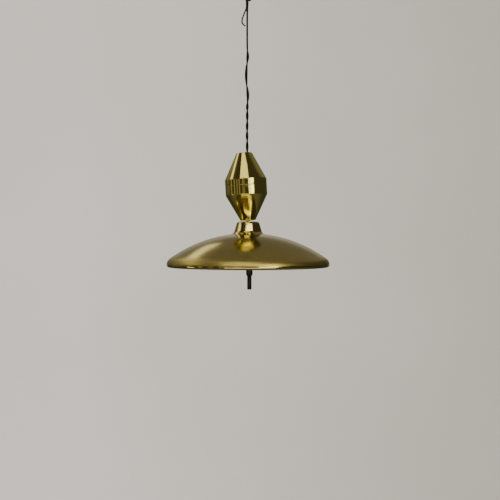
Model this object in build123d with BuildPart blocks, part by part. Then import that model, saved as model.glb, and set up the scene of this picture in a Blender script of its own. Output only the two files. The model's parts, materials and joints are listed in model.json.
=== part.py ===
from build123d import *
import os
from math import acos, asin, atan2, cos, degrees, pi, radians, sin, sqrt, tan

os.makedirs("parts", exist_ok=True)

# A rise-and-fall pendant lamp. The origin is where the hook's screw enters the ceiling.
# +Z is up and -Y is the front. Below the hook hang the twisted flex, the double-cone reel body and the shade.
# Millimetres and degrees throughout.

# Driving dimensions: the shade, with heights counted from the rim plane
RIM_Z = -812.0  # height of the rim plane below the ceiling
SHADE_R = 225.0  # widest radius of the shade
WIDEST = 4.0  # height of the widest radius
RIM_ROLL = 5.5  # radius of the rolled edge
ROLL_TURN = 130.0  # how far the edge is rolled in
RIM_BEND = 23.4  # radius where the dome turns down to the edge
DOME_R = 370.0
NECK_FLARE = 14.0  # radius of the flare from dome to neck
NECK_R = 37.0  # waist of the neck, at the root of the flare
NECK_SLOPE = 74.0  # slope of the neck's side
NECK_TOP = 124.3
NECK_TOP_BEND = 8.0
SHEET = 1.0  # brass sheet of the shade

# Driving dimensions: the reel body, with heights counted along its own leaning axis
REEL_X = 2.4  # middle of the body's foot
REEL_FOOT = 127.5  # height of the body's foot above the rim plane
LEAN = 3.3  # the flex leaves off centre, so the body leans to the left
FOOT_R = 20.8
LOWER_SHOULDER = 70.0
SEAM = 96.4
UPPER_SHOULDER = 113.6
BAND_R = 58.0
BODY_TOP = 186.7
TOP_R = 22.0
SHELL = 1.0  # brass sheet of the body
SEAM_GAP = 0.2
FOOT_HOLE_R = 12.0

# Driving dimensions: the mechanism inside the body
DRUM_HEIGHT = 92.0
DRUM_R = 34.0  # core that the flex winds on
FLANGE_R = 44.0
AXLE_R = 4.0
FRONT_PLATE = -25.5  # outer face of the front frame plate
REAR_PLATE = 22.0  # inner face of the rear frame plate
PLATE = 2.0
ROLLER_U = 20.8
ROLLER_HEIGHT = 148.0
ROLLER_R = 8.0
PIN_U = 1.5
PIN_HEIGHT = 24.0
PIN_R = 3.0
PIN_FIT = 0.05  # running clearance of every pin and shaft
SIDE_PLAY = 0.3  # gap beside every moving piece
THROUGH = 60.0  # longer than any hole that is cut right through

# Driving dimensions: flex and hook
STRAND_R = 2.0
FLEX_R = 4.0  # the twisted pair overall
HOOK_WIRE_R = 2.25
HOOK_R = 11.0
HOOK_NECK = 6.0
HOOK_SHANK = 10.0
HOOK_SCREW = 25.0
HOOK_TURN = 235.0
HOOK_POINT = 1.6  # chamfer at the screw's tip
KNOT_BOTTOM = -79.0
KNOT_TOP = -64.0

# Driving dimensions: lamps and handle, with heights counted from the rim plane
LAMP_HEIGHT = 30.0
LAMPS = 3
HUB_R = 18.0
HUB_BOTTOM = 14.0
HUB_TOP = 44.0
COLLAR_R = 9.2
COLLAR_FOOT = -22.4
ROD_R = 6.2
ROD_TOP = -26.0
ROD_FOOT = -64.0
HANDLE_SHIFT = 3.5  # the handle hangs this far to the right of the stem

# Worked out from them
lean_sin = sin(radians(LEAN))
lean_cos = cos(radians(LEAN))
body_up = (-lean_sin, 0, lean_cos)
body_right = (lean_cos, 0, lean_sin)
body_foot = (REEL_X, 0, RIM_Z + REEL_FOOT)
reel = Plane(origin=body_foot, x_dir=body_right, z_dir=body_up)
reel_face = Plane(origin=body_foot, x_dir=body_right, z_dir=(0, -1, 0))
reel_axis = Axis(body_foot, body_up)
drum_centre = reel.from_local_coords((0, 0, DRUM_HEIGHT))
drum_half = Plane(origin=drum_centre, x_dir=(0, 1, 0), z_dir=body_right)
drum_axis = Axis(drum_centre, (0, 1, 0))
pivot = reel.from_local_coords((PIN_U, 0, PIN_HEIGHT))
stem_x = pivot.X  # the shade hangs level, straight below the cross pin
stem = Plane(origin=(stem_x, 0, RIM_Z))
stem_face = Plane(origin=(stem_x, 0, RIM_Z), x_dir=(1, 0, 0), z_dir=(0, -1, 0))
stem_axis = Axis((stem_x, 0, RIM_Z), (0, 0, 1))
handle_x = stem_x + HANDLE_SHIFT
handle_face = Plane(origin=(handle_x, 0, RIM_Z), x_dir=(1, 0, 0), z_dir=(0, -1, 0))
handle_axis = Axis((handle_x, 0, RIM_Z), (0, 0, 1))
pin_level = pivot.Z - RIM_Z
bushing_u = (0 - reel.from_local_coords((0, 0, BODY_TOP)).X) / lean_cos
plate_inner = FRONT_PLATE + PLATE
plate_outer = REAR_PLATE + PLATE
flex_wrap_r = DRUM_R + FLEX_R + SIDE_PLAY
roller_wrap_r = ROLLER_R + FLEX_R + SIDE_PLAY


def behind(distance):
    """Upright plane along the leaning body: x right, y up its axis, this far behind its middle."""
    return reel_face.offset(-distance)


def level(height):
    """Plane square to the leaning body's axis, this far above its foot."""
    return reel.offset(height)


def stem_level(height):
    """Level plane on the stem's axis, this far above the rim plane."""
    return stem.offset(height)


def outline(plane, points):
    """Closed straight-sided face on a plane."""
    with BuildSketch(plane) as face:
        with BuildLine():
            Polyline(*points, close=True)
        make_face()
    return face.sketch


def discs(plane, places, radius):
    """Discs of one radius at places on a plane."""
    with BuildSketch(plane) as face:
        with Locations(*places):
            Circle(radius)
    return face.sketch


def hexagons(plane, places, across_flats):
    """Hexagons at places on a plane, for nuts."""
    with BuildSketch(plane) as face:
        with Locations(*places):
            RegularPolygon(across_flats / sqrt(3), 6)
    return face.sketch


# ---------------------------------------------------------------- hook in the ceiling

hook_bend = degrees(acos(HOOK_NECK / (HOOK_R + HOOK_NECK)))
hook_centre_z = -HOOK_SHANK - (HOOK_R + HOOK_NECK) * sin(radians(hook_bend))
swing_z = hook_centre_z - HOOK_R  # the flex hangs on the wire here

with BuildPart() as ceiling_hook:
    with BuildLine(Plane.YZ):
        shank = Line((0, HOOK_SCREW), (0, -HOOK_SHANK))
        hook_neck = JernArc(shank @ 1, shank % 1, HOOK_NECK, hook_bend)
        JernArc(hook_neck @ 1, hook_neck % 1, HOOK_R, -HOOK_TURN)
    with BuildSketch(Plane(origin=(0, 0, HOOK_SCREW), z_dir=(0, 0, -1))):
        Circle(HOOK_WIRE_R)
    sweep()
    chamfer(ceiling_hook.edges().group_by(Axis.Z)[-1], length=HOOK_POINT)
ceiling_hook.part.label = "ceiling_hook"
export_step(ceiling_hook.part, "parts/ceiling_hook.step")

# ---------------------------------------------------------------- flex outside the body

MOUTH_RISE = 0.9  # the drop meets the inner run this far above the body
mouth = reel.from_local_coords((bushing_u, 0, BODY_TOP + MOUTH_RISE))

with BuildPart() as flex_drop:
    with BuildSketch(Plane(origin=(0, 0, mouth.Z))):
        Circle(FLEX_R)
    extrude(amount=KNOT_BOTTOM - mouth.Z)
flex_drop.part.label = "flex_drop"
export_step(flex_drop.part, "parts/flex_drop.step")

KNOT_X = 2.5
KNOT_WIDE = 11.0
KNOT_DEEP = 8.0

with BuildPart() as flex_knot:
    with BuildSketch(Plane(origin=(KNOT_X, 0, KNOT_BOTTOM))):
        Ellipse(KNOT_WIDE, KNOT_DEEP)
    extrude(amount=KNOT_TOP - KNOT_BOTTOM)
flex_knot.part.label = "flex_knot"
export_step(flex_knot.part, "parts/flex_knot.step")

LOOP_GAP = 0.6  # between the hook's wire and the strands over it
STRAND_GAP = 0.1  # half of the space between those strands
loop_r = HOOK_WIRE_R + LOOP_GAP + STRAND_R

with BuildPart() as flex_loop:
    for side in (-1, 1):
        strand_y = side * (STRAND_R + STRAND_GAP)
        with BuildLine(Plane(origin=(0, strand_y, 0), x_dir=(1, 0, 0), z_dir=(0, -1, 0))):
            left_leg = Line((-loop_r, KNOT_TOP), (-loop_r, swing_z))
            bend_over = JernArc(left_leg @ 1, left_leg % 1, loop_r, -180)
            Line(bend_over @ 1, (loop_r, KNOT_TOP))
        with BuildSketch(Plane(origin=(-loop_r, strand_y, KNOT_TOP))):
            Circle(STRAND_R)
        sweep()
flex_loop.part.label = "flex_loop"
export_step(flex_loop.part, "parts/flex_loop.step")

# The slack strand leaves the knot behind the drop, bows out to the left and is tucked back in
TAIL_ROUTE = [
    (-1.2, 6.5, KNOT_BOTTOM),
    (-1.2, 6.5, -94.0),
    (-8.5, 3.0, -111.0),
    (-14.4, 0.5, -127.0),
    (-14.2, 0.0, -141.0),
    (-5.1, 0.0, -146.0),
]
TAIL_KINK_R = 4.5  # the last turn is folded tight
ARC_SHARE = 0.45  # of the shorter run, taken up by each arc


def bend_radii(route):
    """Radius of each corner of a route, as large as its two runs allow."""
    radii = []
    for before, corner, after in zip(route, route[1:], route[2:]):
        run_in = Vector(*corner) - Vector(*before)
        run_out = Vector(*after) - Vector(*corner)
        turn = radians(run_in.get_angle(run_out))
        radii.append(ARC_SHARE * min(run_in.length, run_out.length) / tan(turn / 2))
    return radii


def check_tube(name, part, line, radius):
    """Prints a tube's volume beside its section times its length."""
    length = sum(edge.length for edge in line.edges())
    print(name, "length", round(length, 1), "volume", round(part.volume, 1), end=" ")
    print("section x length", round(pi * radius**2 * length, 1))


tail_radii = bend_radii(TAIL_ROUTE)
tail_radii[-1] = min(tail_radii[-1], TAIL_KINK_R)
print("flex_tail radii", [round(radius, 1) for radius in tail_radii])

with BuildPart() as flex_tail:
    with BuildLine() as tail_line:
        FilletPolyline(*TAIL_ROUTE, radius=tail_radii)
    with BuildSketch(Plane(origin=tail_line.line @ 0, z_dir=tail_line.line % 0)):
        Circle(STRAND_R)
    sweep()
flex_tail.part.label = "flex_tail"
export_step(flex_tail.part, "parts/flex_tail.step")
check_tube("flex_tail", flex_tail.part, tail_line.line, STRAND_R)

# ---------------------------------------------------------------- shells of the reel body

BUSHING_R = 7.0
SHOULDER_BEND = 5.0
END_BEND = 1.5
SEAM_RING_HALF = 10.0
SEAM_RING_WALL = 1.2
bushing_place = [(bushing_u, 0)]

with BuildPart() as upper_shell:
    with BuildSketch(reel_face):
        with BuildLine():
            FilletPolyline(
                (BAND_R, SEAM + SEAM_GAP / 2),
                (BAND_R, UPPER_SHOULDER),
                (TOP_R, BODY_TOP),
                (0, BODY_TOP),
                radius=(SHOULDER_BEND, END_BEND),
            )
            offset(amount=SHELL, side=Side.LEFT)
        make_face()
    revolve(axis=reel_axis)
    extrude(
        discs(level(BODY_TOP - 2 * SHELL), bushing_place, BUSHING_R + PIN_FIT),
        amount=4 * SHELL,
        mode=Mode.SUBTRACT,
    )
upper_shell.part.label = "upper_shell"
export_step(upper_shell.part, "parts/upper_shell.step")

with BuildPart() as lower_shell:
    with BuildSketch(reel_face):
        with BuildLine():
            FilletPolyline(
                (BAND_R, SEAM - SEAM_GAP / 2),
                (BAND_R, LOWER_SHOULDER),
                (FOOT_R, 0),
                (FOOT_HOLE_R, 0),
                radius=(SHOULDER_BEND, END_BEND),
            )
            offset(amount=SHELL, side=Side.RIGHT)
        make_face()
    revolve(axis=reel_axis)
lower_shell.part.label = "lower_shell"
export_step(lower_shell.part, "parts/lower_shell.step")

seam_ring_r = BAND_R - SHELL

with BuildPart() as seam_ring:
    with BuildSketch(level(SEAM - SEAM_RING_HALF)):
        Circle(seam_ring_r)
        Circle(seam_ring_r - SEAM_RING_WALL, mode=Mode.SUBTRACT)
    extrude(amount=2 * SEAM_RING_HALF)
seam_ring.part.label = "seam_ring"
export_step(seam_ring.part, "parts/seam_ring.step")

# ---------------------------------------------------------------- bushing and bridge at the top

BUSHING_BORE_R = 4.6
BUSHING_FLANGE = 2.0
BUSHING_FLANGE_R = 8.5
BUSHING_MOUTH = 1.8  # chamfer where the flex comes out
BUSHING_NUT = 20.0  # across flats
BUSHING_FOOT = 158.6
BRIDGE_FOOT = 160.0
BRIDGE = 2.5
BRIDGE_LEFT = -11.5
BRIDGE_RIGHT = 18.5
NUT = 3.5

with BuildPart() as top_bushing:
    extrude(discs(level(BUSHING_FOOT), bushing_place, BUSHING_R), amount=BODY_TOP - BUSHING_FOOT)
    extrude(discs(level(BODY_TOP), bushing_place, BUSHING_FLANGE_R), amount=BUSHING_FLANGE)
    extrude(discs(level(BUSHING_FOOT), bushing_place, BUSHING_BORE_R), amount=THROUGH, mode=Mode.SUBTRACT)
    bore_edges = top_bushing.edges().filter_by(GeomType.CIRCLE).group_by(SortBy.RADIUS)[0]
    chamfer(bore_edges.sort_by(Axis.Z)[-1], length=BUSHING_MOUTH)
top_bushing.part.label = "top_bushing"
export_step(top_bushing.part, "parts/top_bushing.step")

with BuildPart() as bushing_nuts:
    for nut_foot in (BODY_TOP - SHELL - NUT, BRIDGE_FOOT + BRIDGE):
        extrude(hexagons(level(nut_foot), bushing_place, BUSHING_NUT), amount=NUT)
        extrude(discs(level(nut_foot), bushing_place, BUSHING_R), amount=NUT, mode=Mode.SUBTRACT)
bushing_nuts.part.label = "bushing_nuts"
export_step(bushing_nuts.part, "parts/bushing_nuts.step")

TAB = 1.6
TAB_FOOT = 150.0
TAB_HALF = 10.0
SCREW_R = 1.5
SCREW_PLACES = [(-5.0, 155.0), (5.0, 155.0)]

with BuildPart() as bridge:
    with BuildSketch(level(BRIDGE_FOOT)):
        with Locations(((BRIDGE_LEFT + BRIDGE_RIGHT) / 2, (plate_inner + REAR_PLATE) / 2)):
            Rectangle(BRIDGE_RIGHT - BRIDGE_LEFT, REAR_PLATE - plate_inner)
    extrude(amount=BRIDGE)
    for tab_y in (plate_inner, REAR_PLATE - TAB):
        with BuildSketch(behind(tab_y)):
            with Locations((0, (TAB_FOOT + BRIDGE_FOOT) / 2)):
                Rectangle(2 * TAB_HALF, BRIDGE_FOOT - TAB_FOOT)
        extrude(amount=-TAB)
    extrude(discs(level(BRIDGE_FOOT), bushing_place, BUSHING_R), amount=BRIDGE, mode=Mode.SUBTRACT)
    extrude(discs(behind(FRONT_PLATE), SCREW_PLACES, SCREW_R), amount=-THROUGH, mode=Mode.SUBTRACT)
bridge.part.label = "bridge"
export_step(bridge.part, "parts/bridge.step")

# ---------------------------------------------------------------- frame plates and what joins them

PLATE_OUTLINE = [(-10, 18), (10, 18), (48, 71), (48, 112), (14, 166), (-14, 166), (-48, 112), (-48, 71)]
PILLARS = [(-23, 45), (23, 45), (-23, 139)]
PILLAR_R = 3.5
ROLLER_PIN_R = 2.0
LEAD_HOLE = (10.0, 48.6)
LEAD_HOLE_R = 6.5
BRUSH_SLOT = (6.0, 20.0)
PILLAR_NUT = 2.4
PILLAR_NUT_FLATS = 5.5
BRUSH_U = 0.0
BRUSH_RADII = (14.0, 24.0)
brush_middle = DRUM_HEIGHT + sum(BRUSH_RADII) / 2
BRAKE_PLACE = (-36.0, 106.0)
BRAKE_BUSH_R = 5.0


def frame_plate(near_face):
    """Flat plate with the holes that both frame plates share."""
    with BuildPart() as plate:
        extrude(outline(behind(near_face), PLATE_OUTLINE), amount=-PLATE)
        for places, radius in (
            ([(0, DRUM_HEIGHT)], AXLE_R),
            (PILLARS, SCREW_R),
            (SCREW_PLACES, SCREW_R),
            ([(PIN_U, PIN_HEIGHT)], PIN_R),
            ([(ROLLER_U, ROLLER_HEIGHT)], ROLLER_PIN_R),
        ):
            extrude(discs(behind(near_face), places, radius), amount=-PLATE, mode=Mode.SUBTRACT)
    return plate.part


with BuildPart() as front_plate:
    add(frame_plate(FRONT_PLATE))
    extrude(discs(behind(FRONT_PLATE), [BRAKE_PLACE], BRAKE_BUSH_R), amount=-PLATE, mode=Mode.SUBTRACT)
front_plate.part.label = "front_plate"
export_step(front_plate.part, "parts/front_plate.step")

with BuildPart() as rear_plate:
    add(frame_plate(REAR_PLATE))
    extrude(discs(behind(REAR_PLATE), [LEAD_HOLE], LEAD_HOLE_R), amount=-PLATE, mode=Mode.SUBTRACT)
    with BuildSketch(behind(REAR_PLATE)):
        with Locations((BRUSH_U, brush_middle)):
            Rectangle(*BRUSH_SLOT)
    extrude(amount=-PLATE, mode=Mode.SUBTRACT)
rear_plate.part.label = "rear_plate"
export_step(rear_plate.part, "parts/rear_plate.step")

STUD_OUT = 3.0  # how far studs stand out of the plates

with BuildPart() as pillars:
    extrude(discs(behind(plate_inner), PILLARS, PILLAR_R), amount=-(REAR_PLATE - plate_inner))
    extrude(
        discs(behind(FRONT_PLATE - STUD_OUT), PILLARS, SCREW_R),
        amount=-(plate_outer - FRONT_PLATE + 2 * STUD_OUT),
    )
pillars.part.label = "pillars"
export_step(pillars.part, "parts/pillars.step")

with BuildPart() as pillar_nuts:
    for nut_y in (FRONT_PLATE - PILLAR_NUT, plate_outer):
        extrude(hexagons(behind(nut_y), PILLARS, PILLAR_NUT_FLATS), amount=-PILLAR_NUT)
        extrude(discs(behind(nut_y), PILLARS, SCREW_R), amount=-PILLAR_NUT, mode=Mode.SUBTRACT)
pillar_nuts.part.label = "pillar_nuts"
export_step(pillar_nuts.part, "parts/pillar_nuts.step")

SCREW_HEAD = 1.8
SCREW_HEAD_R = 2.8
SCREW_END = 1.0  # stands out of the tab

with BuildPart() as bridge_screws:
    for head_y, shank_y in (
        (FRONT_PLATE - SCREW_HEAD, FRONT_PLATE),
        (plate_outer, REAR_PLATE - TAB - SCREW_END),
    ):
        extrude(discs(behind(head_y), SCREW_PLACES, SCREW_HEAD_R), amount=-SCREW_HEAD)
        extrude(discs(behind(shank_y), SCREW_PLACES, SCREW_R), amount=-(PLATE + TAB + SCREW_END))
bridge_screws.part.label = "bridge_screws"
export_step(bridge_screws.part, "parts/bridge_screws.step")

# ---------------------------------------------------------------- axle, spring and brake

AXLE_END = 4.5
AXLE_NUT = 13.0  # across flats
AXLE_PLACE = [(0, DRUM_HEIGHT)]

with BuildPart() as drum_axle:
    extrude(
        discs(behind(FRONT_PLATE - AXLE_END), AXLE_PLACE, AXLE_R),
        amount=-(plate_outer - FRONT_PLATE + 2 * AXLE_END),
    )
drum_axle.part.label = "drum_axle"
export_step(drum_axle.part, "parts/drum_axle.step")

with BuildPart() as axle_nuts:
    for nut_y in (FRONT_PLATE - NUT, plate_outer):
        extrude(hexagons(behind(nut_y), AXLE_PLACE, AXLE_NUT), amount=-NUT)
        extrude(discs(behind(nut_y), AXLE_PLACE, AXLE_R), amount=-NUT, mode=Mode.SUBTRACT)
axle_nuts.part.label = "axle_nuts"
export_step(axle_nuts.part, "parts/axle_nuts.step")

ARBOR_R = 8.0
ARBOR_FRONT = -19.6
ARBOR_REAR = 3.4

with BuildPart() as spring_arbor:
    extrude(discs(behind(ARBOR_FRONT), AXLE_PLACE, ARBOR_R), amount=-(ARBOR_REAR - ARBOR_FRONT))
    extrude(discs(behind(ARBOR_FRONT), AXLE_PLACE, AXLE_R), amount=-THROUGH, mode=Mode.SUBTRACT)
spring_arbor.part.label = "spring_arbor"
export_step(spring_arbor.part, "parts/spring_arbor.step")

SPRING_TURNS = 7
SPRING_PITCH = 3.0
SPRING_STRIP = 0.6
SPRING_FRONT = -18.5
SPRING_WIDTH = 20.0
SPRING_START = ARBOR_R + SPRING_STRIP / 2 + 0.01  # just clear of the arbor

with BuildPart() as mainspring:
    with BuildSketch(behind(SPRING_FRONT)):
        with BuildLine() as coil:
            coil_end = Vector(SPRING_START, DRUM_HEIGHT)
            heading = Vector(0, 1)
            for half_turn in range(2 * SPRING_TURNS):
                coil_r = ARBOR_R + SPRING_STRIP / 2 + SPRING_PITCH * (half_turn + 0.5) / 2
                arc = JernArc(coil_end, heading, coil_r, 180)
                coil_end = arc @ 1
                heading = arc % 1
        trace(line_width=SPRING_STRIP)
    extrude(amount=-SPRING_WIDTH)
mainspring.part.label = "mainspring"
export_step(mainspring.part, "parts/mainspring.step")

BRAKE_FRONT = -34.0
BRAKE_BORE_R = 3.0
BRAKE_PAD_FRONT = -26.5
BRAKE_PAD_FIT = 0.1
BRAKE_SCREW_OUT = 1.0
BRAKE_SCREW = 3.0
flange_face = plate_inner + 1.5

with BuildPart() as brake_bush:
    extrude(discs(behind(BRAKE_FRONT), [BRAKE_PLACE], BRAKE_BUSH_R), amount=-(plate_inner - BRAKE_FRONT))
    extrude(discs(behind(BRAKE_FRONT), [BRAKE_PLACE], BRAKE_BORE_R), amount=-THROUGH, mode=Mode.SUBTRACT)
brake_bush.part.label = "brake_bush"
export_step(brake_bush.part, "parts/brake_bush.step")

with BuildPart() as brake_pad:
    extrude(
        discs(behind(BRAKE_PAD_FRONT), [BRAKE_PLACE], BRAKE_BORE_R - BRAKE_PAD_FIT),
        amount=-(flange_face - SIDE_PLAY - BRAKE_PAD_FRONT),
    )
brake_pad.part.label = "brake_pad"
export_step(brake_pad.part, "parts/brake_pad.step")

with BuildPart() as brake_screw:
    extrude(discs(behind(BRAKE_FRONT - BRAKE_SCREW_OUT), [BRAKE_PLACE], BRAKE_BORE_R), amount=-BRAKE_SCREW)
brake_screw.part.label = "brake_screw"
export_step(brake_screw.part, "parts/brake_screw.step")

BRAKE_COIL_R = 2.2
BRAKE_WIRE_R = 0.3
BRAKE_COILS = 4
BRAKE_END_GAP = 0.35  # centre of the wire from each end face
brake_spring_front = BRAKE_FRONT - BRAKE_SCREW_OUT + BRAKE_SCREW + BRAKE_END_GAP
brake_spring_length = BRAKE_PAD_FRONT - BRAKE_END_GAP - brake_spring_front

with BuildPart() as brake_spring:
    coil_start = reel.from_local_coords((BRAKE_PLACE[0], brake_spring_front, BRAKE_PLACE[1]))
    with BuildLine() as brake_coil:
        Helix(
            pitch=brake_spring_length / BRAKE_COILS,
            height=brake_spring_length,
            radius=BRAKE_COIL_R,
            center=coil_start,
            direction=(0, 1, 0),
        )
    with BuildSketch(Plane(origin=brake_coil.line @ 0, z_dir=brake_coil.line % 0)):
        Circle(BRAKE_WIRE_R)
    sweep(is_frenet=True)
brake_spring.part.label = "brake_spring"
export_step(brake_spring.part, "parts/brake_spring.step")

# ---------------------------------------------------------------- drum with slip rings

DRUM_FRONT = -22.0
DRUM_INNER = -20.2
WEB_FRONT = 12.4
WEB_REAR = 14.2
BARREL_R = DRUM_R - 2.0
DRUM_HUB_R = 8.0
COVER_PLATE = 1.5
HUB_FRONT = 4.0
drum_bore_r = AXLE_R + PIN_FIT

with BuildPart() as cable_drum:
    drum_points = [
        (DRUM_FRONT, BARREL_R),
        (DRUM_FRONT, FLANGE_R),
        (DRUM_INNER, FLANGE_R),
        (DRUM_INNER, DRUM_R),
        (WEB_FRONT, DRUM_R),
        (WEB_FRONT, FLANGE_R),
        (WEB_REAR, FLANGE_R),
        (WEB_REAR, drum_bore_r),
        (HUB_FRONT, drum_bore_r),
        (HUB_FRONT, DRUM_HUB_R),
        (WEB_FRONT, DRUM_HUB_R),
        (WEB_FRONT, BARREL_R),
    ]
    revolve(outline(drum_half, drum_points), axis=drum_axis)
cable_drum.part.label = "cable_drum"
export_step(cable_drum.part, "parts/cable_drum.step")

with BuildPart() as spring_cover:
    extrude(discs(behind(DRUM_FRONT), AXLE_PLACE, BARREL_R), amount=-COVER_PLATE)
    extrude(discs(behind(DRUM_FRONT), AXLE_PLACE, drum_bore_r), amount=-COVER_PLATE, mode=Mode.SUBTRACT)
spring_cover.part.label = "spring_cover"
export_step(spring_cover.part, "parts/spring_cover.step")

RING_DISC = 2.8
RING_DISC_R = 30.0
RING = 1.0
RING_HALF = 2.5
ring_face = WEB_REAR + RING_DISC + RING

with BuildPart() as slip_ring_disc:
    extrude(discs(behind(WEB_REAR), AXLE_PLACE, RING_DISC_R), amount=-RING_DISC)
    extrude(discs(behind(WEB_REAR), AXLE_PLACE, DRUM_HUB_R), amount=-RING_DISC, mode=Mode.SUBTRACT)
slip_ring_disc.part.label = "slip_ring_disc"
export_step(slip_ring_disc.part, "parts/slip_ring_disc.step")

with BuildPart() as slip_rings:
    for ring_r in BRUSH_RADII:
        with BuildSketch(behind(WEB_REAR + RING_DISC)):
            with Locations(*AXLE_PLACE):
                Circle(ring_r + RING_HALF)
                Circle(ring_r - RING_HALF, mode=Mode.SUBTRACT)
        extrude(amount=-RING)
slip_rings.part.label = "slip_rings"
export_step(slip_rings.part, "parts/slip_rings.step")

WOUND_TURNS = 2
TURN_GAP = 0.02

with BuildPart() as flex_turns:
    for turn in range(WOUND_TURNS):
        turn_y = DRUM_INNER + FLEX_R + 2 * FLEX_R * turn
        with BuildSketch(drum_half):
            with Locations((turn_y, DRUM_R + FLEX_R)):
                Circle(FLEX_R - TURN_GAP)
        revolve(axis=drum_axis)
flex_turns.part.label = "flex_turns"
export_step(flex_turns.part, "parts/flex_turns.step")

# ---------------------------------------------------------------- brushes

BLOCK_DEEP = 7.0
BLOCK_WIDE = 27.0
BLOCK_HIGH = 20.0
BLOCK_CORNER = 1.0
BLOCK_SCREW_R = 1.2
BLOCK_HEAD_R = 2.2
BLOCK_HEAD = 1.5
BRUSH_R = 1.5
BRUSH_SUNK = 5.0
brush_places = [(BRUSH_U, DRUM_HEIGHT + radius) for radius in BRUSH_RADII]
BLOCK_SCREWS = [(-9.0, brush_middle), (9.0, brush_middle)]

with BuildPart() as brush_block:
    with BuildSketch(behind(plate_outer)):
        with Locations((BRUSH_U, brush_middle)):
            RectangleRounded(BLOCK_WIDE, BLOCK_HIGH, BLOCK_CORNER)
    extrude(amount=-BLOCK_DEEP)
    extrude(discs(behind(plate_outer), brush_places, BRUSH_R), amount=-BRUSH_SUNK, mode=Mode.SUBTRACT)
    extrude(discs(behind(plate_outer), BLOCK_SCREWS, BLOCK_SCREW_R), amount=-BLOCK_DEEP, mode=Mode.SUBTRACT)
brush_block.part.label = "brush_block"
export_step(brush_block.part, "parts/brush_block.step")

with BuildPart() as brushes:
    brush_tip = ring_face + SIDE_PLAY
    extrude(discs(behind(brush_tip), brush_places, BRUSH_R), amount=-(plate_outer + BRUSH_SUNK - brush_tip))
brushes.part.label = "brushes"
export_step(brushes.part, "parts/brushes.step")

with BuildPart() as brush_screws:
    extrude(discs(behind(plate_outer), BLOCK_SCREWS, BLOCK_SCREW_R), amount=-BLOCK_DEEP)
    extrude(discs(behind(plate_outer + BLOCK_DEEP), BLOCK_SCREWS, BLOCK_HEAD_R), amount=-BLOCK_HEAD)
brush_screws.part.label = "brush_screws"
export_step(brush_screws.part, "parts/brush_screws.step")

# ---------------------------------------------------------------- guide roller

ROLLER_PLACE = [(ROLLER_U, ROLLER_HEIGHT)]
ROLLER_GROOVE = 4.5
ROLLER_HALF = 6.0
CHEEK_R = 11.0
ROLLER_SPACER_R = 3.5

with BuildPart() as guide_roller:
    extrude(discs(behind(-ROLLER_HALF), ROLLER_PLACE, ROLLER_R), amount=-2 * ROLLER_HALF)
    for cheek_y in (-ROLLER_HALF, ROLLER_GROOVE):
        extrude(discs(behind(cheek_y), ROLLER_PLACE, CHEEK_R), amount=-(ROLLER_HALF - ROLLER_GROOVE))
    extrude(
        discs(behind(-ROLLER_HALF), ROLLER_PLACE, ROLLER_PIN_R + PIN_FIT),
        amount=-2 * ROLLER_HALF,
        mode=Mode.SUBTRACT,
    )
guide_roller.part.label = "guide_roller"
export_step(guide_roller.part, "parts/guide_roller.step")

with BuildPart() as roller_pin:
    extrude(discs(behind(FRONT_PLATE), ROLLER_PLACE, ROLLER_PIN_R), amount=-(plate_outer - FRONT_PLATE))
roller_pin.part.label = "roller_pin"
export_step(roller_pin.part, "parts/roller_pin.step")

with BuildPart() as roller_spacers:
    roller_room = ROLLER_HALF + SIDE_PLAY
    for near, far in ((plate_inner, -roller_room), (roller_room, REAR_PLATE)):
        extrude(discs(behind(near), ROLLER_PLACE, ROLLER_SPACER_R), amount=-(far - near))
        extrude(discs(behind(near), ROLLER_PLACE, ROLLER_PIN_R), amount=-(far - near), mode=Mode.SUBTRACT)
roller_spacers.part.label = "roller_spacers"
export_step(roller_spacers.part, "parts/roller_spacers.step")

# The flex runs straight down the bushing, round the roller's left side and on to the drum's right side
roller_rise = ROLLER_HEIGHT - DRUM_HEIGHT
centres = sqrt(ROLLER_U**2 + roller_rise**2)
run_turn = degrees(asin((roller_wrap_r + flex_wrap_r) / centres)) - degrees(atan2(ROLLER_U, roller_rise))
free_run = sqrt(centres**2 - (roller_wrap_r + flex_wrap_r) ** 2)
DRUM_WRAP = 115.0
INNER_RISE = 0.4  # the inner run ends this far above the body, in the bushing
entry_u = ROLLER_U - roller_wrap_r

with BuildPart() as flex_inner_run:
    with BuildLine(reel_face) as inner_line:
        fall = Line((entry_u, BODY_TOP + INNER_RISE), (entry_u, ROLLER_HEIGHT))
        past_roller = JernArc(fall @ 1, fall % 1, roller_wrap_r, run_turn)
        to_drum = Line(past_roller @ 1, past_roller @ 1 + (past_roller % 1) * free_run)
        JernArc(to_drum @ 1, to_drum % 1, flex_wrap_r, -DRUM_WRAP)
    with BuildSketch(Plane(origin=inner_line.line @ 0, z_dir=inner_line.line % 0)):
        Circle(FLEX_R)
    sweep()
flex_inner_run.part.label = "flex_inner_run"
export_step(flex_inner_run.part, "parts/flex_inner_run.step")
check_tube("flex_inner_run", flex_inner_run.part, inner_line.line, FLEX_R)
print("bushing_u", round(bushing_u, 2), "entry_u", round(entry_u, 2), "run_turn", round(run_turn, 1))

# ---------------------------------------------------------------- cross pin at the foot of the body

PIN_PLACE = [(PIN_U, PIN_HEIGHT)]
PIN_OUT = 2.5
CLIP = 0.8
CLIP_R = 5.2
CLIP_GAP = 0.4
PIN_SPACER_R = 4.5
YOKE_OUTER = 10.0
yoke_room = YOKE_OUTER + SIDE_PLAY

with BuildPart() as cross_pin:
    extrude(
        discs(behind(FRONT_PLATE - PIN_OUT), PIN_PLACE, PIN_R),
        amount=-(plate_outer - FRONT_PLATE + 2 * PIN_OUT),
    )
cross_pin.part.label = "cross_pin"
export_step(cross_pin.part, "parts/cross_pin.step")

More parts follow.
